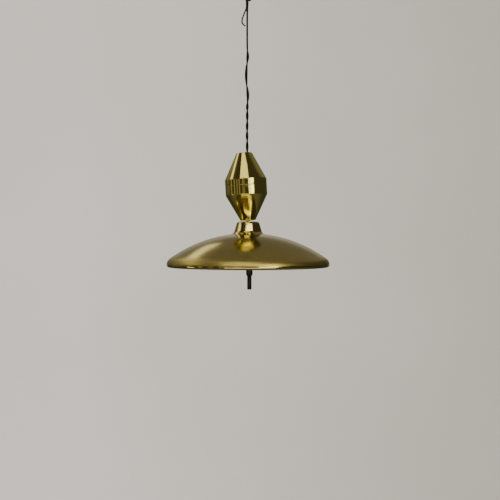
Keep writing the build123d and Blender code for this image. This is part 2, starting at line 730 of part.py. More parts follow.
with BuildPart() as pin_clips:
    for clip_y in (FRONT_PLATE - CLIP_GAP - CLIP, plate_outer + CLIP_GAP):
        extrude(discs(behind(clip_y), PIN_PLACE, CLIP_R), amount=-CLIP)
        extrude(discs(behind(clip_y), PIN_PLACE, PIN_R), amount=-CLIP, mode=Mode.SUBTRACT)
pin_clips.part.label = "pin_clips"
export_step(pin_clips.part, "parts/pin_clips.step")

with BuildPart() as pin_spacers:
    for near, far in ((plate_inner, -yoke_room), (yoke_room, REAR_PLATE)):
        extrude(discs(behind(near), PIN_PLACE, PIN_SPACER_R), amount=-(far - near))
        extrude(discs(behind(near), PIN_PLACE, PIN_R), amount=-(far - near), mode=Mode.SUBTRACT)
pin_spacers.part.label = "pin_spacers"
export_step(pin_spacers.part, "parts/pin_spacers.step")

# The lead from the brushes runs down outside the rear plate, through it and beside the cross pin
LEAD_R = 2.5
LEAD_OUT_U = 10.5  # clear of the axle's nut
LEAD_OUT_Y = 28.0
LEAD_GAP = 0.5  # beside the cross pin
lead_u = PIN_U + PIN_R + LEAD_GAP + LEAD_R
LEAD_ROUTE = [
    (LEAD_OUT_U, LEAD_OUT_Y, brush_middle - BLOCK_HIGH / 2),
    (LEAD_OUT_U, LEAD_OUT_Y, 48.0),
    (lead_u, 0, 38.0),
    (lead_u, 0, PIN_HEIGHT + 1.5),
]
lead_points = [tuple(reel.from_local_coords(point)) for point in LEAD_ROUTE]
lead_radii = bend_radii(lead_points)
print("brush_lead radii", [round(radius, 1) for radius in lead_radii])

with BuildPart() as brush_lead:
    with BuildLine() as lead_line:
        FilletPolyline(*lead_points, radius=lead_radii)
    with BuildSketch(Plane(origin=lead_line.line @ 0, z_dir=lead_line.line % 0)):
        Circle(LEAD_R)
    sweep()
brush_lead.part.label = "brush_lead"
export_step(brush_lead.part, "parts/brush_lead.step")
check_tube("brush_lead", brush_lead.part, lead_line.line, LEAD_R)

# ---------------------------------------------------------------- yoke and stem

YOKE_DEPTH = 18.0  # from the cross pin down to the yoke's base
YOKE_BASE = pin_level - YOKE_DEPTH
YOKE = 2.0
YOKE_NUT = 3.0
YOKE_NUT_FLATS = 14.0
STEM_R = 5.0
STEM_BORE_R = 3.4
YOKE_HALF = 7.0

with BuildPart() as hanger_yoke:
    with BuildSketch(stem_level(YOKE_BASE)):
        Rectangle(2 * YOKE_HALF, 2 * YOKE_OUTER)
    extrude(amount=YOKE)
    for ear_y in (-YOKE_OUTER, YOKE_OUTER - YOKE):
        with BuildSketch(stem_face.offset(-ear_y)):
            with Locations((0, (YOKE_BASE + pin_level) / 2)):
                Rectangle(2 * YOKE_HALF, pin_level - YOKE_BASE)
            with Locations((0, pin_level)):
                Circle(YOKE_HALF)
                Circle(PIN_R + PIN_FIT, mode=Mode.SUBTRACT)
        extrude(amount=-YOKE)
    with BuildSketch(stem_level(YOKE_BASE)):
        Circle(STEM_R)
    extrude(amount=YOKE, mode=Mode.SUBTRACT)
hanger_yoke.part.label = "hanger_yoke"
export_step(hanger_yoke.part, "parts/hanger_yoke.step")

STEM_FOOT = HUB_TOP - 4.0

with BuildPart() as stem_tube:
    with BuildSketch(stem_level(STEM_FOOT)):
        Circle(STEM_R)
        Circle(STEM_BORE_R, mode=Mode.SUBTRACT)
    extrude(amount=YOKE_BASE + YOKE - STEM_FOOT)
stem_tube.part.label = "stem_tube"
export_step(stem_tube.part, "parts/stem_tube.step")


def stem_nut(foot, across_flats, height):
    """Hexagon nut on the stem."""
    with BuildPart() as nut:
        with BuildSketch(stem_level(foot)):
            RegularPolygon(across_flats / sqrt(3), 6)
            Circle(STEM_R, mode=Mode.SUBTRACT)
        extrude(amount=height)
    return nut.part


WASHER = 1.5
WASHER_R = 16.0
STEM_NUT = 4.0
STEM_NUT_FLATS = 16.0
neck_inside = NECK_TOP - SHEET

with BuildPart() as yoke_locknut:
    add(stem_nut(YOKE_BASE - YOKE_NUT, YOKE_NUT_FLATS, YOKE_NUT))
yoke_locknut.part.label = "yoke_locknut"
export_step(yoke_locknut.part, "parts/yoke_locknut.step")

with BuildPart() as shade_washer:
    with BuildSketch(stem_level(neck_inside - WASHER)):
        Circle(WASHER_R)
        Circle(STEM_R, mode=Mode.SUBTRACT)
    extrude(amount=WASHER)
shade_washer.part.label = "shade_washer"
export_step(shade_washer.part, "parts/shade_washer.step")

with BuildPart() as shade_nut:
    add(stem_nut(neck_inside - WASHER - STEM_NUT, STEM_NUT_FLATS, STEM_NUT))
shade_nut.part.label = "shade_nut"
export_step(shade_nut.part, "parts/shade_nut.step")

with BuildPart() as hub_nut:
    add(stem_nut(HUB_TOP, STEM_NUT_FLATS, STEM_NUT))
hub_nut.part.label = "hub_nut"
export_step(hub_nut.part, "parts/hub_nut.step")

STEM_LEAD_ROUTE = [
    (stem_x + lead_u - PIN_U, 0, pivot.Z + 0.2),
    (stem_x + lead_u - PIN_U, 0, pivot.Z - 5.0),
    (stem_x, 0, pivot.Z - 14.5),
    (stem_x, 0, RIM_Z + STEM_FOOT - 4),
]
stem_lead_radii = bend_radii(STEM_LEAD_ROUTE)
print("stem_lead radii", [round(radius, 1) for radius in stem_lead_radii])

with BuildPart() as stem_lead:
    with BuildLine() as stem_lead_line:
        FilletPolyline(*STEM_LEAD_ROUTE, radius=stem_lead_radii)
    with BuildSketch(Plane(origin=stem_lead_line.line @ 0, z_dir=stem_lead_line.line % 0)):
        Circle(LEAD_R)
    sweep()
stem_lead.part.label = "stem_lead"
export_step(stem_lead.part, "parts/stem_lead.step")
check_tube("stem_lead", stem_lead.part, stem_lead_line.line, LEAD_R)

# ---------------------------------------------------------------- shade

rim_slope = degrees(asin((SHADE_R - RIM_BEND) / (DOME_R - RIM_BEND)))
dome_top_slope = degrees(asin((NECK_R + NECK_FLARE) / (DOME_R + NECK_FLARE)))
dome_centre = WIDEST - (DOME_R - RIM_BEND) * cos(radians(rim_slope))
flare_centre = dome_centre + (DOME_R + NECK_FLARE) * cos(radians(dome_top_slope))
flare_top = flare_centre - NECK_FLARE * cos(radians(NECK_SLOPE))
top_bend_rise = NECK_TOP_BEND * (1 - cos(radians(NECK_SLOPE)))
neck_side = (NECK_TOP - top_bend_rise - flare_top) / sin(radians(NECK_SLOPE))

with BuildPart() as shade:
    with BuildSketch(stem_face):
        with BuildLine():
            widest = (SHADE_R, WIDEST)
            JernArc(widest, (0, -1), RIM_ROLL, -ROLL_TURN)
            bend = JernArc(widest, (0, 1), RIM_BEND, 90 - rim_slope)
            dome = JernArc(bend @ 1, bend % 1, DOME_R, rim_slope - dome_top_slope)
            flare = JernArc(dome @ 1, dome % 1, NECK_FLARE, dome_top_slope - NECK_SLOPE)
            side_line = Line(flare @ 1, flare @ 1 + (flare % 1) * neck_side)
            top_bend = JernArc(side_line @ 1, side_line % 1, NECK_TOP_BEND, NECK_SLOPE)
            Line(top_bend @ 1, (STEM_R, (top_bend @ 1).Y))
            offset(amount=SHEET, side=Side.RIGHT)
        make_face()
    revolve(axis=stem_axis)
shade.part.label = "shade"
export_step(shade.part, "parts/shade.step")

# ---------------------------------------------------------------- hub, lampholders and bulbs

HUB_WALL = 2.0
NIPPLE_R = 5.0
NIPPLE_BORE_R = 3.0
HOLDER_START = 22.0
HOLDER_END = 62.0
HOLDER_R = 13.0
HOLDER_EDGE = 1.5
NIPPLE_GRIP = 4.0  # how far the nipple goes into the lampholder
SOCKET_R = 7.6
SOCKET_START = 32.0
CAP_R = 7.0
GLOBE_R = 22.5
GLOBE_CENTRE = 92.0
THROAT_R = 10.0  # hollow curve between the ball and the cap
GLASS = 1.0  # wall of the bulb
lamp_angles = [90 + 360 / LAMPS * lamp for lamp in range(LAMPS)]
lamp_arms = [
    Plane(
        origin=(stem_x, 0, RIM_Z + LAMP_HEIGHT),
        x_dir=(0, 0, 1),
        z_dir=(cos(radians(angle)), sin(radians(angle)), 0),
    )
    for angle in lamp_angles
]

with BuildPart() as lamp_hub:
    with BuildSketch(stem_level(HUB_BOTTOM)):
        Circle(HUB_R)
    extrude(amount=HUB_TOP - HUB_BOTTOM)
    with BuildSketch(stem_level(HUB_BOTTOM)):
        Circle(HUB_R - HUB_WALL)
    extrude(amount=HUB_TOP - HUB_BOTTOM - HUB_WALL, mode=Mode.SUBTRACT)
    with BuildSketch(stem_level(HUB_TOP - HUB_WALL)):
        Circle(STEM_R)
    extrude(amount=HUB_WALL, mode=Mode.SUBTRACT)
    for arm in lamp_arms:
        with BuildSketch(arm):
            Circle(NIPPLE_R)
        extrude(amount=HUB_R + 1, mode=Mode.SUBTRACT)
lamp_hub.part.label = "lamp_hub"
export_step(lamp_hub.part, "parts/lamp_hub.step")

COVER = 3.0
COVER_EDGE = 1.0
STUD_R = 3.0

with BuildPart() as hub_cover:
    with BuildSketch(stem_level(HUB_BOTTOM - COVER)):
        Circle(HUB_R)
        with Locations((HANDLE_SHIFT, 0)):
            Circle(STUD_R, mode=Mode.SUBTRACT)
    extrude(amount=COVER)
    chamfer(hub_cover.edges().group_by(Axis.Z)[0].sort_by(SortBy.RADIUS)[-1], length=COVER_EDGE)
hub_cover.part.label = "hub_cover"
export_step(hub_cover.part, "parts/hub_cover.step")

with BuildPart() as side_nipples:
    for arm in lamp_arms:
        with BuildSketch(arm.offset(HUB_R - HUB_WALL)):
            Circle(NIPPLE_R)
            Circle(NIPPLE_BORE_R, mode=Mode.SUBTRACT)
        extrude(amount=HOLDER_START + NIPPLE_GRIP - HUB_R + HUB_WALL)
side_nipples.part.label = "side_nipples"
export_step(side_nipples.part, "parts/side_nipples.step")

with BuildPart() as lampholders:
    for arm in lamp_arms:
        with BuildSketch(arm.offset(HOLDER_START)):
            Circle(HOLDER_R)
        extrude(amount=HOLDER_END - HOLDER_START)
        with BuildSketch(arm.offset(SOCKET_START)):
            Circle(SOCKET_R)
        extrude(amount=HOLDER_END - SOCKET_START, mode=Mode.SUBTRACT)
        with BuildSketch(arm.offset(HOLDER_START)):
            Circle(NIPPLE_R)
        extrude(amount=NIPPLE_GRIP, mode=Mode.SUBTRACT)
    holder_rims = lampholders.edges().filter_by(GeomType.CIRCLE).group_by(SortBy.RADIUS)[-1]
    chamfer(holder_rims, length=HOLDER_EDGE)
lampholders.part.label = "lampholders"
export_step(lampholders.part, "parts/lampholders.step")

CAP_START = 34.0
CAP_END = 61.0
CONTACT = 3.0
CONTACT_R = 3.5
globe_turn = 180 - degrees(asin((CAP_R + THROAT_R) / (GLOBE_R + THROAT_R)))

with BuildPart() as bulb_caps:
    for arm in lamp_arms:
        with BuildSketch(arm.offset(CAP_START)):
            Circle(CONTACT_R)
        extrude(amount=CONTACT)
        with BuildSketch(arm.offset(CAP_START + CONTACT)):
            Circle(CAP_R)
        extrude(amount=CAP_END - CAP_START - CONTACT)
bulb_caps.part.label = "bulb_caps"
export_step(bulb_caps.part, "parts/bulb_caps.step")

with BuildPart() as bulb_globes:
    for arm, angle in zip(lamp_arms, lamp_angles):
        outward = Vector(cos(radians(angle)), sin(radians(angle)), 0)
        half = Plane(origin=arm.origin, x_dir=outward, z_dir=outward.cross(Vector(0, 0, 1)))
        with BuildSketch(half):
            with BuildLine():
                ball = CenterArc((GLOBE_CENTRE, 0), GLOBE_R, 0, globe_turn)
                throat = JernArc(ball @ 1, ball % 1, THROAT_R, 90 - globe_turn)
                Line(throat @ 1, (CAP_END, CAP_R))
                offset(amount=GLASS, side=Side.LEFT)
            make_face()
        revolve(axis=Axis(arm.origin, outward))
bulb_globes.part.label = "bulb_globes"
export_step(bulb_globes.part, "parts/bulb_globes.step")

TERMINAL_FOOT = 21.0
TERMINAL_SIZE = (16.0, 9.0)
TERMINAL_HIGH = 12.0
TERMINALS = 3
TERMINAL_PITCH = 5.4
TERMINAL_HOLE_R = 1.4

with BuildPart() as terminal_block:
    with BuildSketch(stem_level(TERMINAL_FOOT)):
        Rectangle(*TERMINAL_SIZE)
    extrude(amount=TERMINAL_HIGH)
    with BuildSketch(stem_face.offset(TERMINAL_SIZE[1] / 2)):
        with Locations((0, TERMINAL_FOOT + TERMINAL_HIGH / 2)):
            with GridLocations(TERMINAL_PITCH, 0, TERMINALS, 1):
                Circle(TERMINAL_HOLE_R)
    extrude(amount=-TERMINAL_SIZE[1], mode=Mode.SUBTRACT)
terminal_block.part.label = "terminal_block"
export_step(terminal_block.part, "parts/terminal_block.step")

WIRE_R = 1.2
WIRE_APART = 1.5  # each wire from the middle of the bore
WIRE_START = 10.0

with BuildPart() as lamp_leads:
    for arm in lamp_arms:
        with BuildSketch(arm.offset(WIRE_START)):
            with Locations((0, WIRE_APART), (0, -WIRE_APART)):
                Circle(WIRE_R)
        extrude(amount=HOLDER_START + NIPPLE_GRIP - WIRE_START)
lamp_leads.part.label = "lamp_leads"
export_step(lamp_leads.part, "parts/lamp_leads.step")

# ---------------------------------------------------------------- pull handle

STUD_GRIP = 10.0  # how far the stud goes into the handle
STUD_INSIDE = 2.0  # and into the hub
COLLAR_EDGE = 1.0
COLLAR_LIP = 0.2
HANDLE_END = 1.6
collar_top = HUB_BOTTOM - COVER

with BuildPart() as handle_stud:
    with BuildSketch(stem_level(ROD_TOP - STUD_GRIP)):
        with Locations((HANDLE_SHIFT, 0)):
            Circle(STUD_R)
    extrude(amount=HUB_BOTTOM + STUD_INSIDE - ROD_TOP + STUD_GRIP)
handle_stud.part.label = "handle_stud"
export_step(handle_stud.part, "parts/handle_stud.step")

with BuildPart() as handle_collar:
    collar_points = [
        (STUD_R, collar_top),
        (COLLAR_R - COLLAR_EDGE, collar_top),
        (COLLAR_R, collar_top - COLLAR_EDGE),
        (COLLAR_R, COLLAR_FOOT),
        (ROD_R + COLLAR_LIP, ROD_TOP),
        (STUD_R, ROD_TOP),
    ]
    revolve(outline(handle_face, collar_points), axis=handle_axis)
handle_collar.part.label = "handle_collar"
export_step(handle_collar.part, "parts/handle_collar.step")

with BuildPart() as pull_handle:
    with BuildSketch(stem_level(ROD_FOOT)):
        with Locations((HANDLE_SHIFT, 0)):
            Circle(ROD_R)
    extrude(amount=ROD_TOP - ROD_FOOT)
    with BuildSketch(stem_level(ROD_TOP - STUD_GRIP)):
        with Locations((HANDLE_SHIFT, 0)):
            Circle(STUD_R)
    extrude(amount=STUD_GRIP, mode=Mode.SUBTRACT)
    fillet(pull_handle.edges().group_by(Axis.Z)[0], radius=HANDLE_END)
pull_handle.part.label = "pull_handle"
export_step(pull_handle.part, "parts/pull_handle.step")

print("swing axis z", round(swing_z, 3), "pivot", pivot, "drum", drum_centre)
print("roller", reel.from_local_coords((ROLLER_U, 0, ROLLER_HEIGHT)))
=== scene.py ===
import json
from math import asin, cos, degrees, pi, radians, sin, tan

import bmesh
import bpy
from mathutils import Matrix, Vector


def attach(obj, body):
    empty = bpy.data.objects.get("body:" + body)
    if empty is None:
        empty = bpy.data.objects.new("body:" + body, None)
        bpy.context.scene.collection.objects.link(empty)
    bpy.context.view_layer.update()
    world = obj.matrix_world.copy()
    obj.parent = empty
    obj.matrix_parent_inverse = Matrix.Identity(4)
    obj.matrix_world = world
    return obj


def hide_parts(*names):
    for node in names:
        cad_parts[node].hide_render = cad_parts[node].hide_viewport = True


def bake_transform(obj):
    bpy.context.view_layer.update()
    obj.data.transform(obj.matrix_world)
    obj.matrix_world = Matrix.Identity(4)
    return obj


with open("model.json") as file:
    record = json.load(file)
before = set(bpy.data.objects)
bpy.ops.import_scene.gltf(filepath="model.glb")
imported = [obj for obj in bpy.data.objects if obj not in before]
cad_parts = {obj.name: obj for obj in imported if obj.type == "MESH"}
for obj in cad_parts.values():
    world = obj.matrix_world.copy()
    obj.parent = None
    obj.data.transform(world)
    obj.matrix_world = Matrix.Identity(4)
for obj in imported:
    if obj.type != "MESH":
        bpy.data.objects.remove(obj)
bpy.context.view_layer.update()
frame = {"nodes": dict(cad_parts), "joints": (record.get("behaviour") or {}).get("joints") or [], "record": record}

# ---------------------------------------------------------------- driving dimensions, in metres and degrees

RIM_Z = -0.812
LEAN = 3.3
REEL_X = 0.0024
REEL_FOOT = 0.1275
FOOT_R = 0.0208
FOOT_HOLE_R = 0.012
LOWER_SHOULDER = 0.070
SEAM = 0.0964
SEAM_GAP = 0.0002
UPPER_SHOULDER = 0.1136
BAND_R = 0.058
BODY_TOP = 0.1867
TOP_R = 0.022
SHELL = 0.001
SHADE_R = 0.225
WIDEST = 0.004
RIM_ROLL = 0.0055
ROLL_TURN = 130.0
RIM_BEND = 0.0234
DOME_R = 0.370
NECK_FLARE = 0.014
NECK_R = 0.037
NECK_SLOPE = 74.0
NECK_TOP = 0.1243
NECK_TOP_BEND = 0.008
SHEET = 0.001
STEM_R = 0.005
STRAND_R = 0.002
LAMP_HEIGHT = 0.030
LAMPS = 3

joints = {joint["name"]: joint for joint in frame["joints"]}
stem_x = joints["shade_rock"]["pos_m"][0]
swing_z = joints["swing"]["pos_m"][2]
stem_place = Matrix.Translation((stem_x, 0, RIM_Z))
reel_place = Matrix.Translation((REEL_X, 0, RIM_Z + REEL_FOOT)) @ Matrix.Rotation(radians(-LEAN), 4, "Y")

# ---------------------------------------------------------------- camera

VIEW_DISTANCE = 2.2
VIEW_X = 0.0078
VIEW_Z = -0.7318
VIEW_SHIFT = -0.025  # the camera is level, with its frame shifted down
LENS_MM = 57.2

camera = bpy.data.objects.new("camera", bpy.data.cameras.new("camera"))
bpy.context.scene.collection.objects.link(camera)
camera.location = (VIEW_X, -VIEW_DISTANCE, VIEW_Z)
camera.rotation_euler = (radians(90), 0, 0)
camera.data.shift_y = VIEW_SHIFT
camera.data.lens = LENS_MM
camera.data.clip_end = 30
bpy.context.scene.camera = camera


# ---------------------------------------------------------------- mesh helpers

ON_AXIS = 1e-6  # a lathe point closer to the axis than this is one vertex
CRISP = 35  # edges sharper than this many degrees stay crisp

def add_object(name, data):
    """A new object in the scene."""
    made = bpy.data.objects.new(name, data)
    bpy.context.scene.collection.objects.link(made)
    return made


def finish_mesh(name, bm, place=None, sharp=CRISP):
    """Turns a bmesh into a smooth object, with edges over the sharp angle kept crisp."""
    bmesh.ops.recalc_face_normals(bm, faces=bm.faces)
    mesh = bpy.data.meshes.new(name)
    bm.to_mesh(mesh)
    bm.free()
    if place is not None:
        mesh.transform(place)
    mesh.shade_smooth()
    mesh.set_sharp_from_angle(angle=radians(sharp))
    return add_object(name, mesh)


def add_lathe(bm, profile, segments, closed=True):
    """Spins a profile of (radius, height) points about the Z axis."""
    rings = []
    for radius, height in profile:
        count = 1 if radius < ON_AXIS else segments
        ring = []
        for k in range(count):
            turn = 2 * pi * k / segments
            ring.append(bm.verts.new((radius * cos(turn), radius * sin(turn), height)))
        rings.append(ring)
    pairs = list(zip(rings, rings[1:]))
    if closed:
        pairs.append((rings[-1], rings[0]))
    for low, high in pairs:
        for k in range(segments):
            a = low[k % len(low)]
            b = low[(k + 1) % len(low)]
            c = high[(k + 1) % len(high)]
            d = high[k % len(high)]
            corners = list(dict.fromkeys((a, b, c, d)))
            if len(corners) > 2:
                bm.faces.new(corners)


def lathe(name, profile, place, segments):
    """One turned piece."""
    bm = bmesh.new()
    add_lathe(bm, profile, segments)
    return finish_mesh(name, bm, place)


def lathes(name, profile, places, segments=64):
    """The same turned shape at several places, as one piece."""
    bm = bmesh.new()
    for place in places:
        part = bmesh.new()
        add_lathe(part, profile, segments)
        part.transform(place)
        held = bpy.data.meshes.new("held")
        part.to_mesh(held)
        part.free()
        bm.from_mesh(held)
        bpy.data.meshes.remove(held)
    return finish_mesh(name, bm)


def bend(profile, heading, radius, turn, steps=12):
    """Adds an arc to a profile and returns the new heading. A positive turn goes left."""
    x, y = profile[-1]
    side = 1 if turn > 0 else -1
    start = heading - 90 * side
    middle_x = x - radius * cos(radians(start))
    middle_y = y - radius * sin(radians(start))
    for step in range(1, steps + 1):
        angle = radians(start + turn * step / steps)
        profile.append((middle_x + radius * cos(angle), middle_y + radius * sin(angle)))
    return heading + turn


def rounded(corners, radii, steps=8):
    """A profile through corners, each inner one rounded to its radius."""
    profile = [corners[0]]
    for before, corner, after, radius in zip(corners, corners[1:], corners[2:], radii):
        here = Vector(corner)
        back = (Vector(before) - here).normalized()
        ahead = (Vector(after) - here).normalized()
        half = back.angle(ahead) / 2
        reach = radius / tan(half)
        middle = here + (back + ahead).normalized() * radius / sin(half)
        first, last = here + back * reach - middle, here + ahead * reach - middle
        for step in range(steps + 1):
            arm = first.slerp(last, step / steps).normalized()
            profile.append(tuple(middle + arm * radius))
    profile.append(corners[-1])
    return profile


def thickened(profile, wall, edge_steps=6):
    """A closed outline: the profile, and the same line one wall to its left, with round edges."""
    inner = []
    for number, point in enumerate(profile):
        before = Vector(profile[max(number - 1, 0)])
        after = Vector(profile[min(number + 1, len(profile) - 1)])
        along = (after - before).normalized()
        inner.append(tuple(Vector(point) + Vector((-along.y, along.x)) * wall))
    outline = list(profile)
    for near, far, ahead in (
        (profile[-1], inner[-1], Vector(profile[-1]) - Vector(profile[-2])),
        (inner[0], profile[0], Vector(profile[0]) - Vector(profile[1])),
    ):
        middle = (Vector(near) + Vector(far)) / 2
        arm = Vector(near) - middle
        out = ahead.normalized() * wall / 4
        for step in range(1, edge_steps):
            angle = pi * step / edge_steps
            outline.append(tuple(middle + arm * cos(angle) + out * sin(angle)))
        if near == profile[-1]:
            outline += list(reversed(inner))
    return outline


def add_tube(bm, path, radius, sides=16, shape=None):
    """A closed tube along a path. shape gives the radius at each (number, angle)."""
    rings = []
    normal = None
    for number, point in enumerate(path):
        before = path[max(number - 1, 0)]
        after = path[min(number + 1, len(path) - 1)]
        along = (after - before).normalized()
        if normal is None:
            normal = along.orthogonal().normalized()
        normal = (normal - along * normal.dot(along)).normalized()
        side = along.cross(normal)
        ring = []
        for k in range(sides):
            angle = 2 * pi * k / sides
            r = radius if shape is None else shape(number, angle)
            ring.append(bm.verts.new(point + (normal * cos(angle) + side * sin(angle)) * r))
        rings.append(ring)
    for low, high in zip(rings, rings[1:]):
        for k in range(sides):
            bm.faces.new((low[k], low[(k + 1) % sides], high[(k + 1) % sides], high[k]))
    bm.faces.new(list(reversed(rings[0])))
    bm.faces.new(rings[-1])


def new_route(name, route, bevel=0.0, resolution=12):
    """A smooth curve with the route's points as its control points."""
    curve = bpy.data.curves.new(name, "CURVE")
    curve.dimensions = "3D"
    curve.resolution_u = resolution
    spline = curve.splines.new("NURBS")
    spline.points.add(len(route) - 1)
    for point, place in zip(spline.points, route):
        point.co = (*place, 1)
    spline.order_u = 3
    spline.use_endpoint_u = True
    curve.bevel_depth = bevel
    curve.bevel_resolution = 5
    curve.use_fill_caps = True
    return curve


def route_points(name, route):
    """The points of a route's smooth curve."""
    holder = bpy.data.objects.new(name, new_route(name, route, resolution=24))
    mesh = bpy.data.meshes.new_from_object(holder)
    points = [vertex.co.copy() for vertex in mesh.vertices]
    curve = holder.data
    bpy.data.objects.remove(holder)
    bpy.data.curves.remove(curve)
    bpy.data.meshes.remove(mesh)
    return points


# ---------------------------------------------------------------- materials


class Look:
    """A material under construction. Its textures are laid in the piece's own coordinates."""

    def __init__(self, name):
        self.material = bpy.data.materials.new(name)
        self.material.use_nodes = True
        self.tree = self.material.node_tree
        self.shader = self.tree.nodes["Principled BSDF"]
        self.place = self.add("ShaderNodeTexCoord").outputs["Object"]

    def add(self, kind, **settings):
        """A new node with its settings."""
        node = self.tree.nodes.new(kind)
        for key, value in settings.items():
            setattr(node, key, value)
        return node

    def link(self, output, socket):
        """Joins an output to a socket."""
        self.tree.links.new(output, socket)

    def noise(self, scale, detail=3.0, rough=0.5, vector=None):
        """Noise with about this many features to the metre."""
        node = self.add("ShaderNodeTexNoise")
        node.inputs["Scale"].default_value = scale
        node.inputs["Detail"].default_value = detail
        node.inputs["Roughness"].default_value = rough
        self.link(vector or self.place, node.inputs["Vector"])
        return node.outputs["Fac"]

    def spun(self, centre_x):
        """Coordinates of a turned piece: distance from its axis, and height."""
        shift = self.add("ShaderNodeVectorMath", operation="SUBTRACT")
        shift.inputs[1].default_value = (centre_x, 0, 0)
        self.link(self.place, shift.inputs[0])
        split = self.add("ShaderNodeSeparateXYZ")
        self.link(shift.outputs[0], split.inputs[0])
        flat = self.add("ShaderNodeCombineXYZ")
        self.link(split.outputs["X"], flat.inputs["X"])
        self.link(split.outputs["Y"], flat.inputs["Y"])
        reach = self.add("ShaderNodeVectorMath", operation="LENGTH")
        self.link(flat.outputs[0], reach.inputs[0])
        rings = self.add("ShaderNodeCombineXYZ")
        self.link(reach.outputs["Value"], rings.inputs["X"])
        self.link(split.outputs["Z"], rings.inputs["Z"])
        return rings.outputs[0]

    def blend(self, factor, first, second):
        """A colour between first and second, by a factor."""
        ramp = self.add("ShaderNodeValToRGB")
        low, high = ramp.color_ramp.elements
        low.position = 0.35
        high.position = 0.65
        low.color = (*first, 1)
        high.color = (*second, 1)
        self.link(factor, ramp.inputs[0])
        return ramp.outputs[0]

    def span(self, factor, low, high):
        """A number from low to high, by a factor."""
        node = self.add("ShaderNodeMapRange")
        node.inputs["To Min"].default_value = low
        node.inputs["To Max"].default_value = high
        self.link(factor, node.inputs["Value"])
        return node.outputs["Result"]

    def bump(self, *layers):
        """Bump from (height, distance in metres) layers, one on the other."""
        last = None
        for height, distance in layers:
            node = self.add("ShaderNodeBump")
            node.inputs["Strength"].default_value = 1.0
            node.inputs["Distance"].default_value = distance
            self.link(height, node.inputs["Height"])
            if last is not None:
                self.link(last, node.inputs["Normal"])
            last = node.outputs["Normal"]
        self.link(last, self.shader.inputs["Normal"])

    def put(self, **values):
        """Sets the shader's own sockets to plain values or links."""
        for key, value in values.items():
            socket = self.shader.inputs[key.replace("_", " ")]
            if hasattr(value, "is_linked"):
                self.link(value, socket)
            else:
                socket.default_value = value


def brass(name, bright, dull, rough, spread, centre_x, ring_bump, wave_bump, zones=((0, 0),)):
    """Turned and polished brass, with faint rings, a slight waviness and patchy dulling.

    Zones are (height, extra roughness) pairs, from the lowest up, for a piece that isn't polished all over.
    """
    look = Look(name)
    rings = look.noise(900.0, 2.0, vector=look.spun(centre_x))
    patches = look.noise(14.0, 5.0, 0.6)
    smears = look.noise(70.0, 4.0, 0.65)
    look.put(Metallic=1.0, Base_Color=look.blend(patches, bright, dull))
    finish = look.span(smears, rough, rough + spread)
    height = look.add("ShaderNodeSeparateXYZ")
    look.link(look.place, height.inputs[0])
    for (low, before), (high, after) in zip(zones, zones[1:]):
        step = look.add("ShaderNodeMapRange", interpolation_type="SMOOTHSTEP")
        step.inputs["From Min"].default_value = low
        step.inputs["From Max"].default_value = high
        step.inputs["To Max"].default_value = after - before
        look.link(height.outputs["Z"], step.inputs["Value"])
        both = look.add("ShaderNodeMath", operation="ADD")
        look.link(finish, both.inputs[0])
        look.link(step.outputs["Result"], both.inputs[1])
        finish = both.outputs[0]
    look.put(Roughness=finish)
    look.bump((rings, ring_bump), (look.noise(24.0, 1.0), wave_bump))
    return look.material


def plain(name, colour, shade, rough, spread=0.12, grain=300.0, metallic=0.0, bump=0.00005, **values):
    """A moulded, cast or plated finish with fine grain and slight colour variation."""
    look = Look(name)
    fine = look.noise(grain, 4.0)
    look.put(Metallic=metallic, Base_Color=look.blend(look.noise(grain / 8), colour, shade))
    look.put(Roughness=look.span(fine, rough, rough + spread), **values)
    look.bump((fine, bump))
    return look.material


def felt(name, colour, shade):
    """Pressed wool felt."""
    look = Look(name)
    fibres = look.noise(2500.0, 6.0, 0.7)
    look.put(Base_Color=look.blend(fibres, colour, shade), Roughness=0.95)
    look.bump((fibres, 0.0004))
    return look.material


